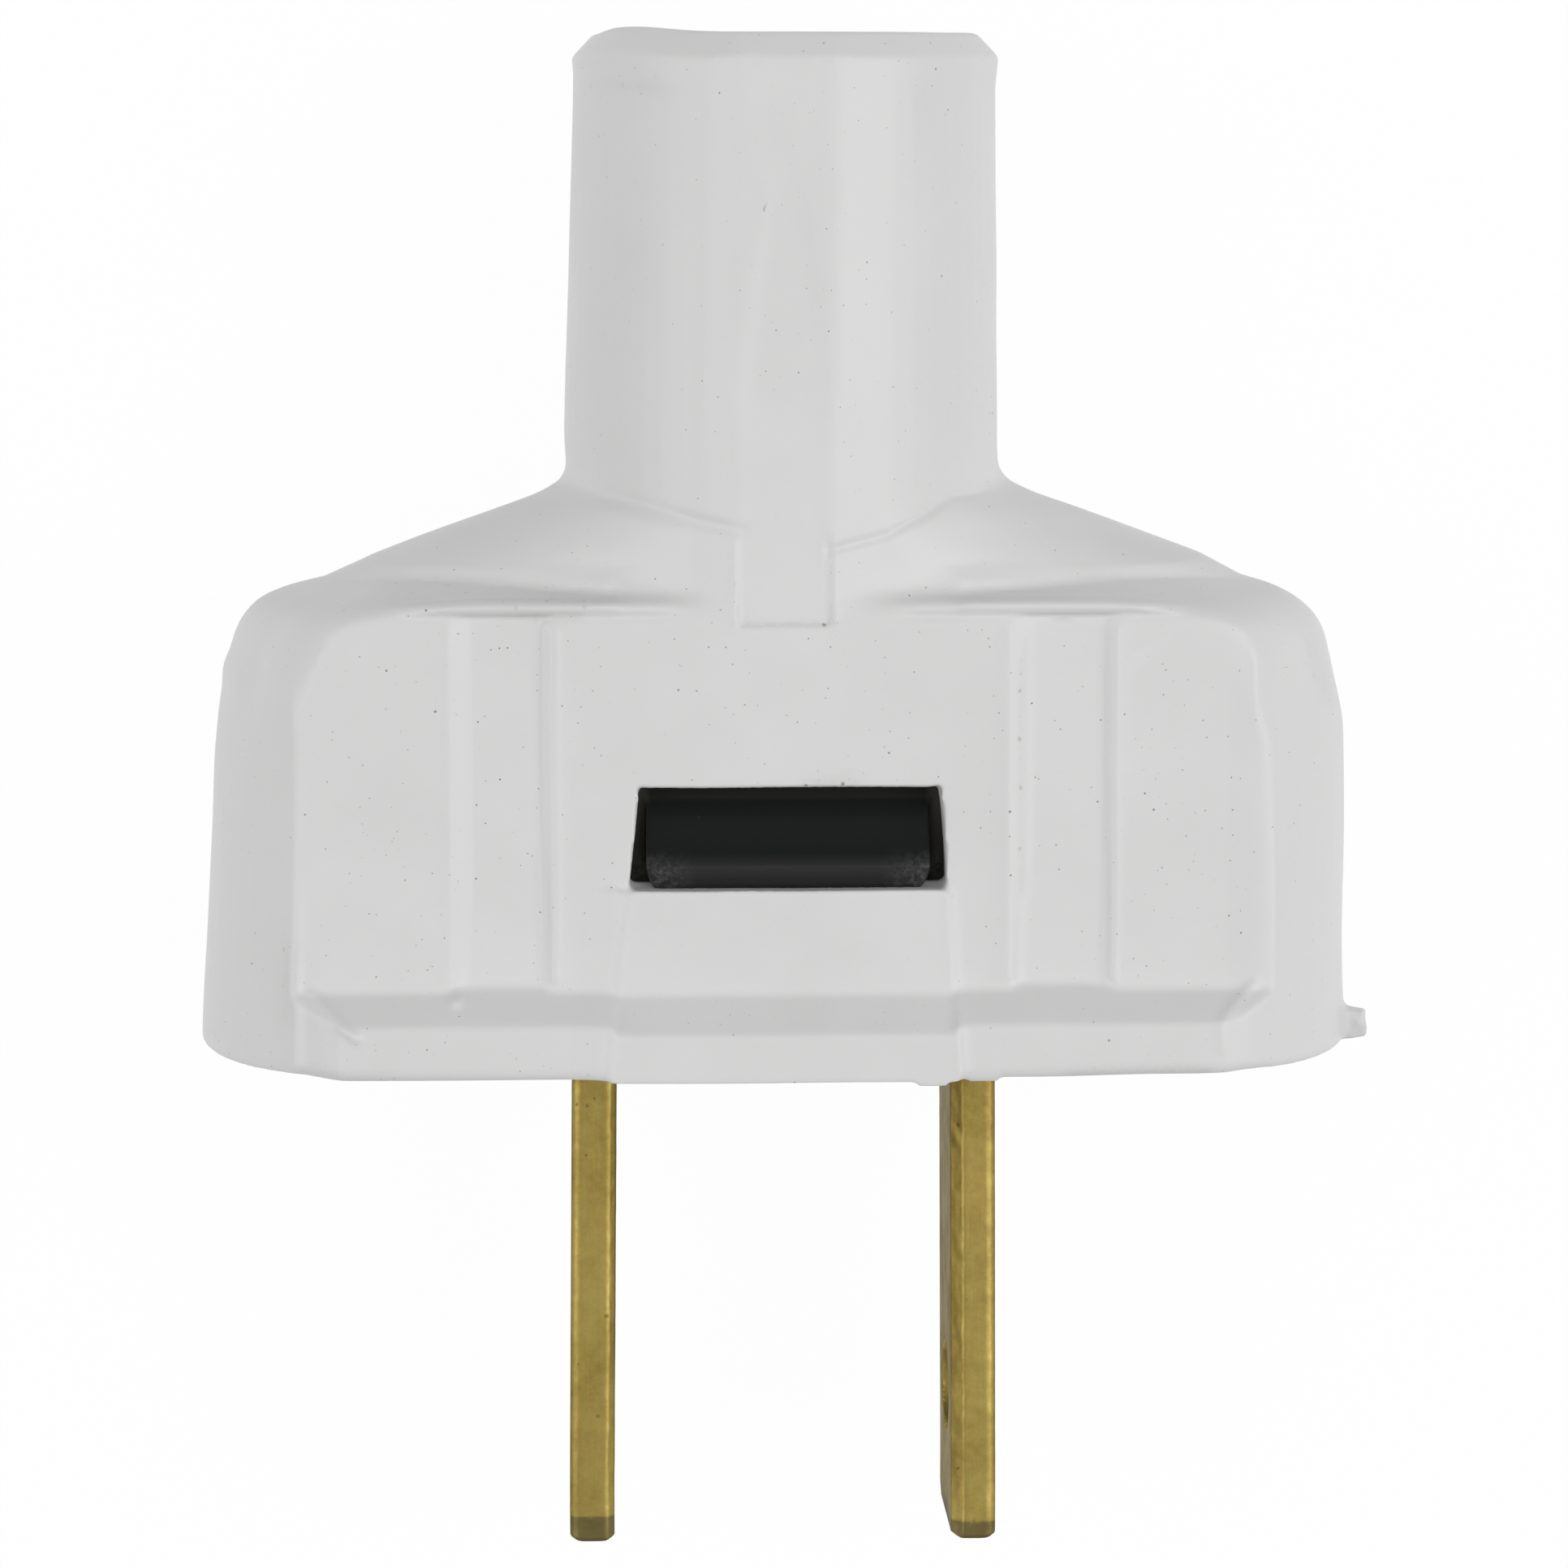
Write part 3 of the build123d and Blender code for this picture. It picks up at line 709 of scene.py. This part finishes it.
def out_of_true(x, y, z):
    side, depth = abs(x), abs(z)
    front = 1 if z > 0 else -1
    wave = noise.noise_vector(Vector((x, y, z)) / wave_size) * wave_height
    # Lean of the neck, slim left shoulder, full right one, and a flatter brow and side on the right
    lean = 0.13 * ramp(y, 19, 34) - 0.17 * ramp(y, 8, 0)
    slim = 0.32 * ramp(x, -5, -9) * ramp(y, 14.9, 15.8) * ramp(y, 20.5, 18.5)
    slim += 0.16 * ramp(x, -10, -12) * bell(y, 16.4, 0.5)
    full = 0.13 * ramp(x, 5, 7.5) * bell(y, 18.0, 0.9)
    brow = 0.17 * ramp(x, 13, 15.5) * bell(y, 15.4, 0.9)
    straight = 0.14 * ramp(x, 17, 19) * bell(y, 4, 4)
    cheek = (0.07 * bell(y, 10.9, 0.8) - 0.12 * bell(y, 12.8, 0.5)) * ramp(x, -17, -18.2)
    # Centre flat a little to the left, and square upper corners of the flat sides
    flat = 0.16 * ramp(side, 3.4, 2.2) * ramp(y, 14.0, 14.7) * ramp(depth, 6.0, 6.8)
    start, full_height = (10.3, 12.8) if x < 0 else (11.6, 14.0)
    corner = 0.6 * ramp(y, start, full_height) + 0.3 * ramp(y, 14.0, 14.8) * ramp(y, 16.4, 15.4)
    corner *= ramp(side, 12.0, 13.4) * ramp(depth, 4.2, 7.0) * ramp(y, 16.6, 15.4)
    # Window's right end, and the fuller corners of the neck's end
    window = 0.1 * ramp(x, 4.2, 4.8) * ramp(x, 6.2, 5.4) * bell(y, 8.5, 1.8) * ramp(depth, 5.0, 5.8)
    neck_corner = 0.11 * ramp(x, 4.5, 6.5) * ramp(y, 31.8, 33.2)
    neck_corner_left = 0.08 * ramp(x, -4.5, -6.5) * ramp(y, 32.5, 33.2)
    # Grip channels: the left wall of each is broad, and the right one stands further left than it should
    upper = ramp(y, 4, 9)
    wall = 0.27 * bell(x, -10.6, 0.22)
    wall -= (0.24 + 0.16 * upper) * (bell(x, -7.6, 0.42) + bell(x, 10.8, 0.42))
    wall += (0.18 * bell(x, 7.8, 0.2) - 0.2 * bell(x, 7.4, 0.2)) * (0.2 + 0.8 * upper)
    wall *= ramp(depth, 6.3, 6.7) * ramp(y, 2.5, 2.95) * ramp(y, 15.0, 14.6)
    push_x = lean + slim + full + cheek + window + wall + neck_corner + math.copysign(corner, x)
    push_x -= straight + brow + flat + neck_corner_left
    # Face edge: short on the right, long in the middle
    short = (0.06 * ramp(x, 8, 13) * ramp(x, 17, 15) + 0.07 * bell(x, 15.5, 1.2)) * ramp(y, 2.0, 0.3)
    short += 0.08 * bell(x, -15.8, 1.0) * ramp(y, 1.5, 0.2)
    strap = ramp(side, 5.62, 5.48) * ramp(depth, 6.9, 7.1)
    strap_drop = strap * (0.1 + 0.16 * ramp(y, 2.9, 1.7)) * ramp(y, 3.7, 3.0) * ramp(y, 0.4, 1.2)
    strap_drop += 0.09 * ramp(side, 6.2, 5.4) * ramp(y, 0.9, 0.2)
    # Rim under the roof, pushed up, and the channels' ends, pushed into its groove
    rim = 0.08 * ramp(depth, 6.4, 6.95) * ramp(y, 15.12, 15.3) * ramp(y, 16.1, 15.7) * ramp(side, 1.9, 4.0)
    channel_end = 0.2 * ramp(y, 14.2, 14.8) * ramp(y, 15.25, 15.0) * ramp(depth, 6.6, 6.85)
    channel_end *= ramp(side, 6.6, 7.2) * ramp(side, 11.8, 11.2)
    push_y = short + rim + channel_end + 0.1 * neck_corner - strap_drop
    # Shoulders, hollowed between the roof and the neck
    hollow = 0.42 * ramp(y, 15.9, 16.6) * ramp(y, 18.8, 17.4) * ramp(side, 3.6, 6.5) * ramp(side, 13.5, 10.0)
    hollow *= ramp(depth, 1.5, 3.5)
    # Flat of the neck, as wide at its end as at its root
    taper = min(1.0, max(0.0, (y - 19.5) / 11))
    flat_cut = min(0.186 * (1 - (1 - taper) ** 2), max(0.0, (2.72 - x * x) / 14.4)) * ramp(depth, 5.0, 6.0)
    return push_x + wave.x, push_y + wave.y, wave.z - front * (hollow + flat_cut)


housing_skin = clay_copy("housing", "housing_skin", housing_cell)
push_points(housing_skin, out_of_true)
print("the neck's end leans by", round(out_of_true(0, 33, 0)[0], 2), "mm")

# %% [markdown]
# Smoothing comes in many light rounds. A few rounds soften every edge by about a tenth of a millimetre,
# and fewer still are spent around the window, whose edge is crisp. More rounds work only where the
# photograph shows broad soft edges: along the borders of the flat side, where the shoulders run into the
# neck, where the roof fades at its tips, along the broad channel walls and on the lump of flash. One
# strength for the whole piece would either blur the window or leave the shoulders hard.

# %% Housing skin: soften
border_side = 16.05


def is_broad_edge(x, y, z):
    side, depth = abs(x), abs(z)
    border = abs(side - border_side) < 0.75 and depth > 6.3 and 2.9 < y < 14.6
    corner = side > 12.8 and 14.0 < y < 15.9 and depth > 5.0
    crease = side < 9.5 and 17.4 < y < 20.6 and depth < 4.2 and math.hypot(x, z) > 5.5
    neck_flat = 0.9 < side < 2.3 and 18.0 < y < 33.0 and depth > 6.0
    return border or corner or crease or neck_flat


def is_crease(x, y, z):
    return abs(x) < 9.5 and 16.8 < y < 19.8 and abs(z) > 2.5 and math.hypot(x, z) > 5.5


def is_roof_tip(x, y, z):
    return 1.75 < abs(x) < 5.6 and 15.0 < y < 16.6 and abs(z) > 6.0


def is_flash(x, y, z):
    return x > 19.35 and y < 1.6


def is_bright_wall(x, y, z):
    return min(abs(x + 10.65), abs(x - 7.6)) < 0.5 and 3.0 < y < 14.9 and abs(z) > 6.6


def is_away_from_window(x, y, z):
    return abs(x) > 5.9 or y < 5.5 or y > 9.9


softening_rounds = (
    (2, is_away_from_window),
    (1, None),
    (14, is_broad_edge),
    (4, is_crease),
    (40, is_roof_tip),
    (2, is_bright_wall),
    (10, is_flash),
)
for rounds, chosen in softening_rounds:
    soften(housing_skin, rounds, chosen)

# %% [markdown]
# The moulding also carries small marks. They are told apart by their places in millimetres: a bead and a
# groove along the top of the flat side, a ridge down each border of it, raised edges along the channels
# and the straps, raised lines where the flange ends, a little knob at the foot of one channel, crumbs of
# flash on the lower edge and a torn lip on the neck's end. A bump map could draw them, but it would not
# show at the outline or in the meshes. They come after the smoothing, so that they stay crisp.

# %% Housing skin: moulding marks
rim_level = 15.4
groove_level = 14.99
left_crease = (
    (-7.27, 18.68), (-6.45, 18.71), (-5.37, 18.62), (-4.18, 18.35), (-3.25, 18.12), (-1.53, 17.8),
)
right_crease = (
    (7.1, 18.75), (6.38, 18.76), (5.47, 18.72), (5.03, 18.51), (4.6, 18.23), (3.89, 17.94), (3.2, 17.58),
    (2.38, 17.4), (1.36, 17.16),
)


def distance_to_line(x, y, start, end):
    along_x, along_y = end[0] - start[0], end[1] - start[1]
    share = ((x - start[0]) * along_x + (y - start[1]) * along_y) / (along_x ** 2 + along_y ** 2)
    share = min(1.0, max(0.0, share))
    return math.hypot(x - start[0] - share * along_x, y - start[1] - share * along_y)


def distance_to_path(x, y, path):
    return min(distance_to_line(x, y, start, end) for start, end in zip(path, path[1:]))


def moulding_marks(x, y, z):
    side, depth = abs(x), abs(z)
    front = 1 if z > 0 else -1
    push_x = push_y = push_z = 0.0
    if depth > 6.0 and y < 16.2:
        # Bead and groove under the roof
        reach = ramp(side, 3.0, 4.6) * ramp(side, 13.6, 11.6)
        push_z += front * reach * (0.15 * bell(y, rim_level, 0.24) - 0.1 * bell(y, groove_level, 0.12))
        # Ridge down the border of the flat
        if x < 0:
            border = 0.11 * ramp(x, -17.2, -16.15) * ramp(x, -15.7, -16.15)
        else:
            border = 0.1 * ramp(x, 14.2, 15.6) * ramp(x, 16.5, 15.8)
        push_z += front * border * ramp(y, 13.5, 11.5)
    if depth > 6.6 and 14.4 < y < 17.9:
        # Walls and lower end of the centre flat
        length = ramp(y, 14.7, 14.9) * ramp(y, 17.8, 17.2)
        push_z += front * length * (0.06 * bell(x, -1.78, 0.1) - 0.04 * bell(x, -1.5, 0.1))
        push_z += front * length * (0.06 * bell(x, 1.5, 0.09) - 0.08 * bell(x, 1.28, 0.1))
        push_z -= front * 0.09 * bell(distance_to_line(x, y, (-1.5, 14.76), (1.3, 14.78)), 0, 0.09)
    if depth > 2.5 and 16.9 < y < 19.3 and side < 7.3:
        # Fine groove where the neck leaves the shoulders
        radius = math.hypot(x, z)
        path, width, sunk = (left_crease, 0.16 + 0.02 * side, 0.12) if x < 0 else (right_crease, 0.12, 0.1)
        sunk *= bell(distance_to_path(x, y, path), 0, width) * ramp(side, 7.2, 5.8)
        push_x -= sunk * x / radius
        push_z -= sunk * z / radius
    if depth > 6.8 and 3.0 < y < 14.6:
        # Raised edges of the channel walls
        push_z += front * 0.08 * ramp(x, -7.85, -7.66) * ramp(x, -7.34, -7.66)
        push_z += front * 0.07 * ramp(x, 10.45, 10.6) * ramp(x, 10.9, 10.6)
        push_z += front * (0.04 * ramp(x, -11.5, -11.0) * ramp(x, -10.7, -11.0))
        push_z += front * (0.04 * ramp(x, 6.6, 7.2) * ramp(x, 7.5, 7.2))
    if depth > 6.0 and y < 3.2:
        # Raised line where the flange ends
        end_line = ((-15.55, 2.75), (-14.1, 1.45)) if x < 0 else ((15.25, 2.9), (14.2, 1.95))
        push_z += front * 0.13 * bell(distance_to_line(x, y, *end_line), 0, 0.17)
        push_z += front * 0.04 * bell(x, 14.1, 0.15) * ramp(y, 0.6, 1.0) * ramp(y, 2.0, 1.8)
    if depth > 6.9 and y < 6.1:
        # Edges of the straps
        edge = side + (0.17 if x > 0 else -0.17) * ramp(y, 8, 0) - 5.18 - 0.091 * (6.15 - y)
        if x < 0:
            push_z += front * 0.16 * ramp(edge, 1.4, 0.35) * ramp(edge, -0.25, 0.35)
        else:
            push_z += front * 0.06 * bell(edge, 0.09, 0.18)
    if depth > 6.3 and side < 5.6 and 5.9 < y < 9.7:
        # Ragged edges of the windows
        ragged = noise.noise_vector(Vector((x, y, z)) / 0.16) * 0.012
        push_x += ragged.x
        push_y += ragged.y
        # Square corners of the window, and its lower edge a touch lower
        drawn = ramp(side, 4.55, 4.9) * ramp(y, 9.05, 9.35) * ramp(depth, 5.6, 6.2)
        push_x += math.copysign(0.07, x) * drawn
        push_y += 0.07 * drawn
        push_y -= 0.11 * ramp(y, 6.6, 6.2) * ramp(depth, 5.0, 5.6)
    if z > 7.0:
        # Knob at the foot of the left channel
        push_z += 0.25 * bell(math.hypot(x + 10.85, y - 2.55), 0, 0.2)
    if z > 7.6 and y < 0.4:
        # Crumbs of flash on the lower edge
        crumbs = max(ramp(x, 4.0, 4.25) * ramp(x, 5.25, 5.0), ramp(x, 5.65, 5.95) * ramp(x, 6.95, 6.7))
        push_y -= 0.13 * crumbs * ramp(y, 0.4, 0.05)
    if x > 19.4 and y < 1.7:
        # Lumpy flash, a little shorter than its solid
        lumps = noise.noise_vector(Vector((x, y, z)) / 0.45) * 0.09
        push_x += lumps.x - 0.22 * ramp(x, 19.5, 20.2)
        push_y += lumps.y
        push_z += lumps.z
    if y > 32.1:
        # Torn lip on the neck's end
        lip = bell(x, -4.9, 1.5) * ramp(z, 0.5, 3.0)
        push_y += 0.2 * lip * ramp(y, 32.4, 33.4)
        push_x -= 0.1 * lip
    return push_x, push_y, push_z


push_points(housing_skin, moulding_marks)
print("marks are pressed into", len(housing_skin.data.vertices), "points")

# %% [markdown]
# The flat areas hold far more points than they need. Collapsing edges keeps the points where the surface
# turns, so the piece stays light and keeps its small marks.

# %% Housing skin: thin out and finish
housing_triangles = 190000

thin_out(housing_skin, housing_triangles)
finish_piece(housing_skin, "housing", white_rubber)

# %% [markdown]
# Dirt collects in corners and along edges. Each point of the skin gets an amount of grime, worked out from
# the lines in the photograph where specks stand close together. The rubber's material reads the amount by
# name and lets through that much of a dense scatter of specks. A mask worked out from the shape's corners
# could place it, but it would dirty every corner alike.

# %% Housing skin: grime
# Start and end of each line, its width and its share of the full amount
grime_lines = (
    ((-1.5, 14.74), (1.4, 14.76), 0.1, 1.0),
    ((7.62, 6.0), (7.62, 13.6), 0.12, 0.7),
    ((0.6, 9.5), (2.2, 9.5), 0.12, 0.9),
    ((9.2, 0.05), (13.6, 0.15), 0.25, 0.9),
    ((-15.6, 0.1), (-13.0, 0.1), 0.3, 0.6),
    ((-16.4, 2.0), (-16.2, 4.2), 0.3, 0.5),
    ((-9.0, 15.1), (-6.8, 15.05), 0.15, 0.8),
    ((17.6, 13.6), (18.2, 12.0), 0.5, 0.5),
    ((-13.0, 15.7), (-6.0, 15.5), 0.4, 0.35),
)


def grime_at(x, y, z):
    if z < 0:
        return 0.0
    return max(
        share * bell(distance_to_line(x, y, start, end), 0, width)
        for start, end, width, share in grime_lines
    )


grime = housing_skin.data.attributes.new("grime", "FLOAT", "POINT")
for vertex, value in zip(housing_skin.data.vertices, grime.data):
    value.value = grime_at(*(vertex.co / mm))
print("grime lies on", sum(value.value > 0.1 for value in grime.data), "points")

# %% [markdown]
# The core is treated the same way, with less smoothing, because nylon is stiff and its mould is sharp. In
# the photograph it sits low in the window, so the barb's crest and heel droop a little and stand out a
# little more. It could be moved as a whole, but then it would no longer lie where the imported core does.

# %% Core skin
core_cell = 0.11 * mm
core_softening = 2
core_triangles = 90000



def barb_droop(x, y, z):
    droop = 0.16 * ramp(y, 8.6, 7.0) + 0.19 * ramp(y, 6.85, 6.45)
    droop *= ramp(y, 5.2, 6.2) * ramp(abs(z), 5.75, 6.3)
    stand = 0.15 * ramp(y, 7.8, 7.0) * ramp(y, 5.2, 6.2) * ramp(abs(z), 6.0, 6.8)
    return 0.0, -droop, math.copysign(stand, z)


core_skin = clay_copy("core", "core_skin", core_cell)
soften(core_skin, core_softening)
push_points(core_skin, barb_droop)
thin_out(core_skin, core_triangles)
finish_piece(core_skin, "core", black_nylon)

# %% [markdown]
# The blades are worn and a little bent. Their skins are made in the same way from finer cells, because the
# slopes along their edges are only a few tenths wide. The inner edges of each are worn to a wider slope,
# all long edges are faintly nicked, and the tips are worn short and round. Bump could fake the nicks, but
# the outline of the tips and the wide slopes are shape, and they catch the light as shape.

# %% Blade skins
blade_cell = 0.08 * mm
blade_triangles = 60000
blade_thickness = 1.5
outer_slope = 0.16
# For each blade, in millimetres: half its width, the place of its inner side, its lean at the tip, the
# slope on its inner edges, the wear of its tip, and the height where the painted shade on its tip starts
blade_values = {
    "neutral": (3.97, -5.6, -0.14, 0.24, 0.42, -15.7),
    "line": (3.175, 5.6, 0.09, 0.4, 0.18, -16.2),
}


def worn_blade(half_width, inner, lean, filed, wear):
    outward = 1 if inner > 0 else -1

    def push(x, y, z):
        if y > -0.1:
            return 0.0, 0.0, 0.0
        from_inner = (x - inner) * outward
        from_outer = blade_thickness - from_inner
        from_front = half_width - abs(z)
        front = 1 if z > 0 else -1
        fresh = ramp(y, -0.1, -0.6)
        nicks = noise.noise_vector(Vector((x, y, z)) / 0.5)
        dents = noise.noise(Vector((x, y * 0.6, z)) / 0.22)
        edge_in = bell(math.hypot(from_inner, from_front), 0.0, 0.35)
        edge_out = bell(math.hypot(from_outer, from_front), 0.0, 0.3)
        cut = max(0.0, filed * (1 + 0.07 * nicks.y) - from_inner - from_front) / 2 * fresh
        cut_out = max(0.0, outer_slope * (0.8 + 0.5 * nicks.z) - from_outer - from_front) / 2 * fresh
        push_x = outward * (cut - cut_out) + lean * min(1.0, -y / 15)
        push_z = -front * (cut + cut_out) + front * 0.012 * dents * (edge_in + edge_out)
        push_x += 0.014 * nicks.x * (edge_in + edge_out) * fresh
        push_y = wear * ramp(y, -13.9, -16.6)
        rounded = ramp(y, -16.5, -17.0) * bell(min(from_inner, from_outer), 0.0, 0.22)
        push_y += 0.14 * rounded
        return push_x, push_y, push_z

    return push


for side, (*shape, tip_shade_start) in blade_values.items():
    blade_skin = clay_copy("blade_" + side, "blade_" + side + "_skin", blade_cell)
    push_points(blade_skin, worn_blade(*shape))
    thin_out(blade_skin, blade_triangles)
    # Painted shade: each point near the tip gets how much of the tip's painted shade it takes
    tip_shade_amount = blade_skin.data.attributes.new("tip_shade", "FLOAT", "POINT")
    for vertex, amount in zip(blade_skin.data.vertices, tip_shade_amount.data):
        amount.value = ramp(vertex.co.y / mm, tip_shade_start + 0.04, tip_shade_start - 0.06)
    finish_piece(blade_skin, "blade_" + side, dull_brass)

# %% [markdown]
# The last cell notes the box of the imported model and the box of the dressed one, so that they can be
# compared.

# %% Finish
dressed_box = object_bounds()
boxes = {
    "cad": [[float(v) for v in corner] for corner in cad_box],
    "visual": [[float(v) for v in corner] for corner in dressed_box],
}
for label, (low, high) in boxes.items():
    print(label, "box measures", [round((b - a) / mm, 2) for a, b in zip(low, high)], "mm")
